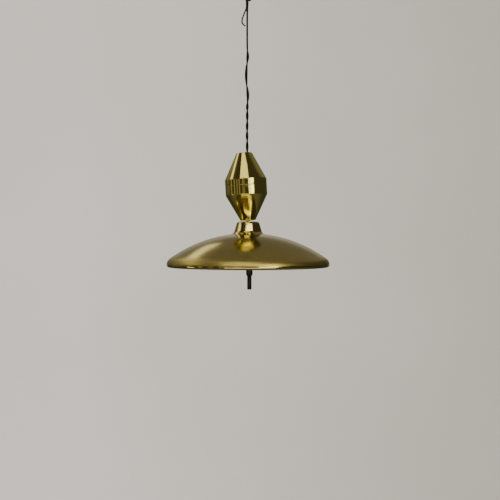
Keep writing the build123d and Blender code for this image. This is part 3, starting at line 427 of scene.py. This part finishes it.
looks = {
    "brass_polished": brass(
        "brass_polished", (0.80, 0.70, 0.20), (0.72, 0.62, 0.16), 0.06, 0.05, -0.003, 0.00001, 0.0003
    ),
    "brass_shade": brass(
        "brass_shade", (0.64, 0.52, 0.16), (0.56, 0.45, 0.13), 0.06, 0.06, stem_x, 0.00002, 0.0003,
        ((-0.8060, 0.0), (-0.8030, 0.28), (-0.7950, 0.28), (-0.7800, 0.10), (-0.7350, 0.10), (-0.7240, 0.0)),
    ),
    "brass_plain": brass(
        "brass_plain", (0.66, 0.50, 0.22), (0.50, 0.37, 0.15), 0.24, 0.12, stem_x, 0.00005, 0.0
    ),
    "steel_zinc": plain("steel_zinc", (0.62, 0.62, 0.60), (0.50, 0.50, 0.49), 0.30, 0.15, 700.0, 1.0),
    "steel_plate": plain("steel_plate", (0.50, 0.50, 0.49), (0.42, 0.42, 0.42), 0.34, 0.15, 500.0, 1.0),
    "steel_turned": plain("steel_turned", (0.60, 0.60, 0.60), (0.52, 0.52, 0.52), 0.22, 0.12, 900.0, 1.0),
    "spring_steel": plain("spring_steel", (0.16, 0.18, 0.24), (0.24, 0.22, 0.20), 0.28, 0.1, 500.0, 1.0),
    "aluminium_cast": plain("aluminium_cast", (0.66, 0.66, 0.67), (0.58, 0.58, 0.59), 0.42, 0.15, 900.0, 1.0),
    "bulb_cap": plain("bulb_cap", (0.72, 0.72, 0.70), (0.62, 0.62, 0.60), 0.25, 0.12, 900.0, 1.0),
    "flex_black": plain(
        "flex_black", (0.004, 0.004, 0.004), (0.008, 0.007, 0.006), 0.60, 0.15, 900.0,
        Specular_IOR_Level=0.1,
    ),
    "lead_sleeve": plain("lead_sleeve", (0.72, 0.68, 0.56), (0.62, 0.57, 0.45), 0.55, 0.1, 900.0),
    "plastic_black": plain("plastic_black", (0.018, 0.018, 0.018), (0.028, 0.027, 0.026), 0.28, 0.1, 500.0),
    "handle_black": plain(
        "handle_black", (0.006, 0.006, 0.006), (0.010, 0.009, 0.008), 0.16, 0.08, 500.0,
        Specular_IOR_Level=0.14,
    ),
    "phenolic": plain("phenolic", (0.16, 0.06, 0.025), (0.10, 0.035, 0.015), 0.38, 0.12, 400.0),
    "carbon": plain("carbon", (0.03, 0.03, 0.03), (0.06, 0.06, 0.06), 0.6, 0.2, 1500.0),
    "nylon": plain("nylon", (0.78, 0.76, 0.68), (0.70, 0.68, 0.60), 0.42, 0.1, 400.0),
    "ceramic_white": plain("ceramic_white", (0.86, 0.85, 0.80), (0.78, 0.77, 0.72), 0.16, 0.1, 300.0),
    "bulb_glass": plain("bulb_glass", (0.86, 0.84, 0.78), (0.82, 0.80, 0.74), 0.10, 0.05, 60.0),
    "brake_felt": felt("brake_felt", (0.30, 0.27, 0.23), (0.20, 0.18, 0.15)),
}


def dress(piece, slot, body=None, *nodes):
    """Gives a new piece its finish and body, and the CAD nodes that it stands for."""
    piece.data.materials.clear()
    piece.data.materials.append(looks[slot])
    if body:
        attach(piece, body)
    if nodes:
        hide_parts(*nodes)
    return piece


for entry in frame["record"]["subparts"]:
    node = frame["nodes"][entry["node"]]
    if not node.material_slots:
        node.data.materials.append(None)
    for holder in node.material_slots:
        holder.material = looks[entry["material_slot"]]

# ---------------------------------------------------------------- flex

KNOT_FOOT = -0.079
KNOT_HEAD = -0.064
DROP_TOP = -0.075  # inside the knot

# The drop hangs straight but was never quite unkinked
DROP_ROUTE = [
    (0.0, 0.0, DROP_TOP),
    (0.0002, 0.0, -0.098),
    (0.0, 0.0, -0.125),
    (0.0, 0.0, -0.170),
    (0.0, 0.0, -0.208),
    (0.0022, 0.0, -0.232),
    (-0.0022, 0.0, -0.262),
    (-0.0030, 0.0, -0.298),
    (0.0028, 0.0, -0.338),
    (0.0, 0.0, -0.368),
    (0.0004, 0.0, -0.400),
    (-0.0004, 0.0, -0.440),
    (0.0, 0.0, -0.470),
    (0.0, 0.0, -0.4967),
]
# Heights where one strand is behind the other, half a turn apart.
# From the first of them down to SLACK_END the pair is slack and hardly turns.
CROSSINGS = [-0.104, -0.248, -0.312, -0.359, -0.381, -0.409, -0.437, -0.464, -0.495]
SLACK_END = -0.212
SLACK_TWIST = 0.41  # of the slack stretch, in half turns, where 0.5 is one strand right behind the other
WRAPS = 2.2  # turns of the knot round the pair
WRAP_GAP = 0.0002
# The slack strand leaves the knot behind the drop, bows out to the left and is tucked back in
TAIL_ROUTE = [
    (-0.0012, 0.0065, KNOT_FOOT),
    (-0.0012, 0.0065, -0.094),
    (-0.0085, 0.0030, -0.111),
    (-0.0144, 0.0005, -0.127),
    (-0.0142, 0.0000, -0.141),
    (-0.0051, 0.0000, -0.146),
]


def twist_at(height):
    """How far the pair has turned at this height, in half turns."""
    marks = [(DROP_TOP, 0.0), (CROSSINGS[0], SLACK_TWIST), (SLACK_END, SLACK_TWIST)]
    marks += [(mark, number + 1.5) for number, mark in enumerate(CROSSINGS[1:])]
    for (upper, before), (lower, after) in zip(marks, marks[1:]):
        if height >= lower:
            return before + (after - before) * (upper - height) / (upper - lower)
    return marks[-1][1]


def smooth_twist(height, window=0.006, samples=7):
    """The twist averaged over a short stretch, so that it never changes pace at once."""
    offsets = [window * (2 * k / (samples - 1) - 1) for k in range(samples)]
    return sum(twist_at(height + offset) for offset in offsets) / samples


def make_drop():
    """The twisted pair from the knot to the body."""
    line = route_points("drop_line", DROP_ROUTE)
    bm = bmesh.new()
    for turn in (0, pi):
        strand = []
        for point in line:
            angle = pi * smooth_twist(point.z) + turn
            strand.append(point + Vector((cos(angle), sin(angle), 0)) * STRAND_R)
        add_tube(bm, strand, STRAND_R, 20)
    piece = finish_mesh("twisted_flex", bm, sharp=60)
    dress(piece, "flex_black", None, "flex_drop")
    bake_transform(piece)
    make_knot()


def make_knot():
    """Two close wraps round the pair, and a bight that stands out to the right."""
    wrap_r = 3 * STRAND_R + WRAP_GAP
    pitch = 2 * STRAND_R + WRAP_GAP
    per_turn = 10
    route = []
    for step in range(int(WRAPS * per_turn)):
        angle = 2 * pi * step / per_turn
        height = KNOT_HEAD - STRAND_R - 2 * WRAP_GAP - pitch * step / per_turn
        route.append((wrap_r * 1.05 * cos(angle), wrap_r * sin(angle), height))
    route += [
        (0.0085, -0.0030, -0.0755),
        (0.0112, -0.0015, -0.0735),
        (0.0114, 0.0005, -0.0690),
        (0.0085, 0.0020, -0.0665),
    ]
    piece = add_object("flex_knot_wraps", new_route("flex_knot_wraps", route, STRAND_R))
    return dress(piece, "flex_black", "flex", "flex_knot")


def make_tail():
    """The slack strand."""
    piece = add_object("slack_strand", new_route("slack_strand", TAIL_ROUTE, STRAND_R))
    dress(piece, "flex_black", "flex", "flex_tail")


def make_loops():
    """The two strands that lie side by side over the hook."""
    leg_x = 0.00485
    crown = swing_z + leg_x
    for name, strand_y in (("loop_strand_front", -0.0021), ("loop_strand_back", 0.0021)):
        route = [(-leg_x, strand_y, z) for z in (KNOT_HEAD, -0.050, swing_z)]
        route += [(x, strand_y, crown) for x in (-leg_x, 0, leg_x)]
        route += [(leg_x, strand_y, z) for z in (swing_z, -0.050, KNOT_HEAD)]
        piece = add_object(name, new_route(name, route, STRAND_R))
        dress(piece, "flex_black", "flex", "flex_loop")


make_drop()
make_tail()
make_loops()

# ---------------------------------------------------------------- hook

HOOK_WIRE_R = 0.00225
HOOK_R = 0.011
HOOK_NECK = 0.006
HOOK_SHANK = 0.010
HOOK_SCREW = 0.025
HOOK_TURN = 235.0
THREAD_PITCH = 0.0018
THREAD_DEPTH = 0.0005
THREAD_FADE = 0.002  # the thread's depth grows over this height
SCREW_TAPER = 0.006  # the screw narrows to its point over this height
SCREW_POINT = 0.15  # of the wire's radius is left at the point
SCREW_STEPS = 200


def make_hook():
    """A screw hook, with a cut thread that runs out to a point."""
    side = [(0.0, HOOK_SCREW)]
    for step in range(1, SCREW_STEPS + 1):
        side.append((0.0, HOOK_SCREW - (HOOK_SCREW + HOOK_SHANK) * step / SCREW_STEPS))
    neck_turn = 90 - degrees(asin(HOOK_NECK / (HOOK_R + HOOK_NECK)))
    heading = bend(side, -90, HOOK_NECK, neck_turn, 16)
    bend(side, heading, HOOK_R, -HOOK_TURN, 72)
    path = [Vector((0, y, z)) for y, z in side]

    def wire(number, angle):
        """The wire's radius, which is threaded and tapered above the ceiling."""
        height = path[number].z
        radius = HOOK_WIRE_R
        if height > 0:
            turn = (height / THREAD_PITCH + angle / (2 * pi)) % 1
            radius -= THREAD_DEPTH * (1 - abs(2 * turn - 1)) * min(height / THREAD_FADE, 1)
            radius *= min(1, SCREW_POINT + (HOOK_SCREW - height) / SCREW_TAPER)
        return radius

    bm = bmesh.new()
    add_tube(bm, path, HOOK_WIRE_R, 32, wire)
    dress(finish_mesh("screw_hook", bm, sharp=50), "steel_zinc", "ceiling", "ceiling_hook")


make_hook()

# ---------------------------------------------------------------- reel body

SHOULDER_BEND = 0.005
END_BEND = 0.0015
SEAM_BEND = 0.00025
SEAM_LIP = 0.0009
FLEX_HOLE_R = 0.00705  # about the body's own axis


def make_shells():
    """The two halves of the double cone. Their edges at the seam are turned in a little."""
    upper = [
        (BAND_R - SEAM_LIP, SEAM + SEAM_GAP / 2), (BAND_R, SEAM + SEAM_GAP / 2), (BAND_R, UPPER_SHOULDER),
        (TOP_R, BODY_TOP), (FLEX_HOLE_R, BODY_TOP),
    ]
    lower = [
        (FOOT_HOLE_R, 0.0), (FOOT_R, 0.0), (BAND_R, LOWER_SHOULDER),
        (BAND_R, SEAM - SEAM_GAP / 2), (BAND_R - SEAM_LIP, SEAM - SEAM_GAP / 2),
    ]
    upper_line = rounded(upper, (SEAM_BEND, SHOULDER_BEND, END_BEND))
    lower_line = rounded(lower, (END_BEND, SHOULDER_BEND, SEAM_BEND))
    for name, line, node in (
        ("reel_shell_upper", upper_line, "upper_shell"),
        ("reel_shell_lower", lower_line, "lower_shell"),
    ):
        shell = lathe(name, thickened(line, SHELL), reel_place, 256)
        dress(shell, "brass_polished", "reel", node)


BUSHING_SHIFT = 0.00836  # to the right of the body's axis
BUSHING_BORE_R = 0.0046
BUSHING_R = 0.0070
BUSHING_FOOT = 0.1586
FLANGE_R = 0.0085
FLANGE_TOP = BODY_TOP + 0.0020


def make_bushing():
    """The black bushing that the flex comes out of, with a domed flange and a rounded mouth."""
    line = rounded(
        [
            (BUSHING_BORE_R, BUSHING_FOOT), (BUSHING_R, BUSHING_FOOT), (BUSHING_R, BODY_TOP),
            (FLANGE_R, BODY_TOP), (FLANGE_R, FLANGE_TOP), (BUSHING_BORE_R, FLANGE_TOP),
            (BUSHING_BORE_R, BODY_TOP - 0.004),
        ],
        (0.0003, 0.0001, 0.0001, 0.0009, 0.0008),
    )
    piece = lathe("flex_bushing", line, reel_place @ Matrix.Translation((BUSHING_SHIFT, 0, 0)), 96)
    dress(piece, "plastic_black", "reel", "top_bushing")


make_shells()
make_bushing()

# ---------------------------------------------------------------- shade


def shade_outline():
    """The shade's outer line from the rolled edge to the stem's hole, then its wall."""
    rim_slope = degrees(asin((SHADE_R - RIM_BEND) / (DOME_R - RIM_BEND)))
    dome_top_slope = degrees(asin((NECK_R + NECK_FLARE) / (DOME_R + NECK_FLARE)))
    roll = [(SHADE_R, WIDEST)]
    bend(roll, -90, RIM_ROLL, -ROLL_TURN, 24)
    line = list(reversed(roll))
    heading = bend(line, 90, RIM_BEND, 90 - rim_slope, 24)
    heading = bend(line, heading, DOME_R, rim_slope - dome_top_slope, 48)
    heading = bend(line, heading, NECK_FLARE, dome_top_slope - NECK_SLOPE, 24)
    top_bend_rise = NECK_TOP_BEND * (1 - cos(radians(NECK_SLOPE)))
    side = (NECK_TOP - top_bend_rise - line[-1][1]) / sin(radians(NECK_SLOPE))
    x, y = line[-1]
    line.append((x + side * cos(radians(heading)), y + side * sin(radians(heading))))
    bend(line, heading, NECK_TOP_BEND, NECK_SLOPE, 16)
    line.append((STEM_R, line[-1][1]))
    return thickened(line, SHEET)


dress(lathe("brass_shade_spun", shade_outline(), stem_place, 384), "brass_shade", "shade", "shade")

# ---------------------------------------------------------------- lamps

HUB_R = 0.018
HUB_BOTTOM = 0.014
HUB_TOP = 0.044
HOLDER_START = 0.022
HOLDER_END = 0.062
HOLDER_R = 0.013
SOCKET_START = 0.032
SOCKET_R = 0.0076
CAP_START = 0.034
CAP_END = 0.061
CAP_R = 0.007
GLOBE_R = 0.0225
GLOBE_CENTRE = 0.092
THROAT_R = 0.010
GLASS = 0.001
RIBS = 12
RIB_PITCH = 0.0014
RIB_DEPTH = 0.0005
CAP_TURNS = 7
CAP_PITCH = 0.0028
CAP_STEPS = 8  # points to a turn of the cap's thread

lamp_places = [
    stem_place
    @ Matrix.Translation((0, 0, LAMP_HEIGHT))
    @ Matrix.Rotation(radians(90 + 360 / LAMPS * lamp), 4, "Z")
    @ Matrix.Rotation(radians(90), 4, "Y")
    for lamp in range(LAMPS)
]


def make_holders():
    """Lampholders with a ribbed skirt and a stepped mouth."""
    line = [(STEM_R, HOLDER_START), (HOLDER_R - 0.0015, HOLDER_START), (HOLDER_R, HOLDER_START + 0.0015)]
    for rib in range(RIBS):
        foot = HOLDER_START + 0.012 + RIB_PITCH * rib
        line += [(HOLDER_R, foot), (HOLDER_R - RIB_DEPTH, foot + 0.0004), (HOLDER_R, foot + 0.0008)]
    line += [
        (HOLDER_R, HOLDER_END - 0.0015), (HOLDER_R - 0.0015, HOLDER_END), (SOCKET_R + 0.0006, HOLDER_END),
        (SOCKET_R, HOLDER_END - 0.0006), (SOCKET_R, SOCKET_START), (STEM_R, SOCKET_START),
    ]
    dress(lathes("lampholder_shells", line, lamp_places), "plastic_black", "shade", "lampholders")


def make_bulbs():
    """Bulbs with rolled screw caps and opal globes."""
    cap = [(0.0, CAP_START), (0.0035, CAP_START), (0.0042, CAP_START + 0.003), (0.0062, CAP_START + 0.004)]
    for step in range(CAP_TURNS * CAP_STEPS):
        height = CAP_START + 0.005 + CAP_PITCH * step / CAP_STEPS
        cap.append((CAP_R - 0.0004 * (1 - cos(2 * pi * step / CAP_STEPS)), height))
    cap += [(CAP_R, CAP_END), (0.0, CAP_END)]
    dress(lathes("bulb_screw_caps", cap, lamp_places), "bulb_cap", "shade", "bulb_caps")
    globe_turn = 180 - degrees(asin((CAP_R + THROAT_R) / (GLOBE_R + THROAT_R)))
    globe = [(GLOBE_CENTRE + GLOBE_R, 0.0)]
    heading = bend(globe, 90, GLOBE_R, globe_turn, 48)
    bend(globe, heading, THROAT_R, 90 - globe_turn, 12)
    globe.append((CAP_END, CAP_R))
    line = [(radius, reach) for reach, radius in reversed(globe)]
    outline = line + [(max(r - GLASS, 0.0), z) for r, z in reversed(line[:-1])]
    dress(lathes("bulb_opal_globes", outline, lamp_places), "bulb_glass", "shade", "bulb_globes")


def make_hub():
    """The drum that the lampholders stand on, with its cover plate."""
    drum = rounded(
        [
            (STEM_R, HUB_TOP), (HUB_R, HUB_TOP), (HUB_R, HUB_BOTTOM),
            (HUB_R - 0.002, HUB_BOTTOM), (HUB_R - 0.002, HUB_TOP - 0.002), (STEM_R, HUB_TOP - 0.002),
        ],
        (0.0015, 0.0002, 0.0002, 0.0005),
    )
    dress(lathe("lamp_hub_drum", drum, stem_place, 96), "brass_plain", "shade", "lamp_hub")
    cover = rounded(
        [
            (0.003, HUB_BOTTOM), (HUB_R, HUB_BOTTOM), (HUB_R, HUB_BOTTOM - 0.003),
            (0.003, HUB_BOTTOM - 0.003),
        ],
        (0.0002, 0.0012),
    )
    dress(lathe("hub_cover_plate", cover, stem_place, 96), "brass_plain", "shade", "hub_cover")


make_holders()
make_bulbs()
make_hub()

# ---------------------------------------------------------------- pull handle

STUD_R = 0.003
STUD_DEPTH = 0.010  # of the stud's hole in the rod
COLLAR_R = 0.0092
COLLAR_FOOT = -0.0224
ROD_R = 0.0062
ROD_TOP = -0.026
ROD_FOOT = -0.064
HANDLE_SHIFT = 0.0035  # to the right of the stem
GROOVE_HALF = 0.0004
collar_top = HUB_BOTTOM - 0.003


def groove(radius, middle, depth):
    """Three points of a fine groove, from its upper edge down."""
    return [(radius, middle + GROOVE_HALF), (radius - depth, middle), (radius, middle - GROOVE_HALF)]


def make_handle():
    """Black collar and pull rod, each turned with a fine groove."""
    place = stem_place @ Matrix.Translation((HANDLE_SHIFT, 0, 0))
    collar = rounded(
        [
            (STUD_R, collar_top), (COLLAR_R, collar_top), *groove(COLLAR_R, COLLAR_FOOT + 0.0030, 0.0005),
            (COLLAR_R, COLLAR_FOOT), (ROD_R + 0.0002, ROD_TOP), (STUD_R, ROD_TOP),
        ],
        (0.001, 0.0001, 0.0002, 0.0001, 0.0008, 0.0003),
    )
    dress(lathe("handle_collar_turned", collar, place, 96), "handle_black", "shade", "handle_collar")
    rod = rounded(
        [
            (STUD_R, ROD_TOP), (ROD_R, ROD_TOP), *groove(ROD_R, ROD_FOOT + 0.0060, 0.0004),
            (ROD_R, ROD_FOOT), (0.0, ROD_FOOT),
        ],
        (0.0003, 0.0001, 0.0002, 0.0001, 0.0016),
    )
    rod += [(0.0, ROD_TOP - STUD_DEPTH), (STUD_R, ROD_TOP - STUD_DEPTH)]
    dress(lathe("pull_rod_turned", rod, place, 96), "handle_black", "shade", "pull_handle")


make_handle()

# ---------------------------------------------------------------- room and lights

ROOM_R = 3.6
FLOOR_Z = -2.6
COVE_R = 0.9
WALL_TOP = 1.4
VAULT_R = 1.2
DIM_ROOM = 0.05  # brightness of the surroundings where nothing else is


def make_room():
    """A pale round room with a coved floor, which the polished metal doesn't mirror. Its glow is painted light,
    brightest on the left and fading to the right.
    """
    line = [(0.0, FLOOR_Z), (ROOM_R - COVE_R, FLOOR_Z)]
    bend(line, 0, COVE_R, 90, 24)
    line.append((ROOM_R, WALL_TOP))
    bend(line, 90, VAULT_R, 90, 16)
    line.append((0.0, line[-1][1]))
    bm = bmesh.new()
    add_lathe(bm, line, 96, closed=False)
    room = finish_mesh("room", bm, sharp=80)
    look = Look("pale_wall_painted_glow")
    tone = look.blend(look.noise(0.8), (0.60, 0.585, 0.555), (0.57, 0.555, 0.525))
    across = look.add("ShaderNodeSeparateXYZ")
    look.link(look.place, across.inputs[0])
    # painted light: the wall's glow is ramped from strong on the left to weak on the right
    painted_light_falloff = look.add("ShaderNodeMapRange")
    painted_light_falloff.inputs["From Min"].default_value = -1.2
    painted_light_falloff.inputs["From Max"].default_value = 2.0
    painted_light_falloff.inputs["To Min"].default_value = 0.66
    painted_light_falloff.inputs["To Max"].default_value = 0.20
    look.link(across.outputs["X"], painted_light_falloff.inputs["Value"])
    look.put(Base_Color=tone, Emission_Color=tone, Emission_Strength=painted_light_falloff.outputs["Result"], Roughness=0.9)
    room.data.materials.append(look.material)
    room.visible_glossy = False


def make_world():
    """What the metal mirrors: dim all round, brighter above and behind, with a pale wall straight behind."""
    world = bpy.data.worlds.new("surroundings")
    bpy.context.scene.world = world
    world.use_nodes = True
    nodes, links = world.node_tree.nodes, world.node_tree.links
    place = nodes.new("ShaderNodeTexCoord")

    def facing(direction, low, high, bright):
        """Grey that rises from nothing to bright as a direction is neared."""
        dot = nodes.new("ShaderNodeVectorMath")
        dot.operation = "DOT_PRODUCT"
        dot.inputs[1].default_value = direction
        links.new(place.outputs["Generated"], dot.inputs[0])
        spread = nodes.new("ShaderNodeMapRange")
        spread.interpolation_type = "SMOOTHSTEP"
        spread.inputs["From Min"].default_value = low
        spread.inputs["From Max"].default_value = high
        spread.inputs["To Max"].default_value = bright
        links.new(dot.outputs["Value"], spread.inputs["Value"])
        return spread.outputs["Result"]

    ceiling = facing((0, 0.5, 0.866), 0.62, 0.72, 0.13)
    side = facing((-0.8, 0.4, 0.45), 0.80, 0.97, 0.14)
    wall = facing((0, 1, 0), 0.86, 0.97, 0.30)
    floor = facing((0, -0.3, -0.954), 0.2, 0.7, 0.08)
    total = None
    for part in (ceiling, side, wall, floor):
        both = nodes.new("ShaderNodeMath")
        if total:
            links.new(total, both.inputs[0])
        else:
            both.inputs[0].default_value = DIM_ROOM
        links.new(part, both.inputs[1])
        total = both.outputs[0]
    tint = nodes.new("ShaderNodeVectorMath")
    tint.operation = "SCALE"
    tint.inputs[0].default_value = (1.0, 0.95, 0.86)
    links.new(total, tint.inputs["Scale"])
    links.new(tint.outputs[0], nodes["Background"].inputs["Color"])


LIGHT_DISTANCE = 2.7
LAMP_MIDDLE = Vector((0, 0, -0.62))

WARM = (1.0, 0.96, 0.80)
BROWN = (1.0, 0.78, 0.58)

# Soft boxes by bearing (0 in front, positive to the right), height angle, width and height in degrees,
# brightness and tint
SOFT_BOXES = [
    ("window_high", -15, 55, 36, 20, 1.5, WARM),
    ("window_right", 27, 5, 26, 12, 2.6, WARM),
    ("window_tall", 35, 18, 15, 30, 2.6, WARM),
    ("window_mid", 4, 31, 70, 6, 4.5, WARM),
    ("window_sill", 2, -9, 66, 6, 4.0, WARM),
    ("sill_left", -82, -9, 12, 6, 3.0, WARM),
    ("glow_side", -89, 23, 30, 7, 1.6, WARM),
    ("glow_behind", -128, 39, 60, 9, 1.4, WARM),
    ("glow_front", -10, 16, 44, 14, 0.22, BROWN),
    ("strip_a", -36, 0, 5, 16, 0.34, BROWN),
    ("strip_b", -50, 0, 7, 16, 0.24, BROWN),
    ("strip_c", -66, 0, 6, 16, 0.34, BROWN),
    ("strip_d", -14, 0, 14, 16, 0.18, BROWN),
    ("strip_e", -86, 0, 7, 16, 0.32, BROWN),
]


def make_light(name, bearing, rise, wide, high, strength, tint):
    """A soft box that faces the lamp. Its strength is its brightness, whatever its size."""
    data = bpy.data.lights.new(name, "AREA")
    data.shape = "RECTANGLE"
    data.size = 2 * LIGHT_DISTANCE * tan(radians(wide / 2))
    data.size_y = 2 * LIGHT_DISTANCE * tan(radians(high / 2))
    data.energy = strength * pi * data.size * data.size_y
    data.color = tint
    light = add_object(name, data)
    across, up = radians(bearing), radians(rise)
    out = Vector((sin(across) * cos(up), -cos(across) * cos(up), sin(up)))
    light.location = LAMP_MIDDLE + out * LIGHT_DISTANCE
    light.rotation_mode = "QUATERNION"
    light.rotation_quaternion = out.to_track_quat("Z", "Y")
    light.visible_camera = False


make_room()
make_world()
for box in SOFT_BOXES:
    make_light(*box)
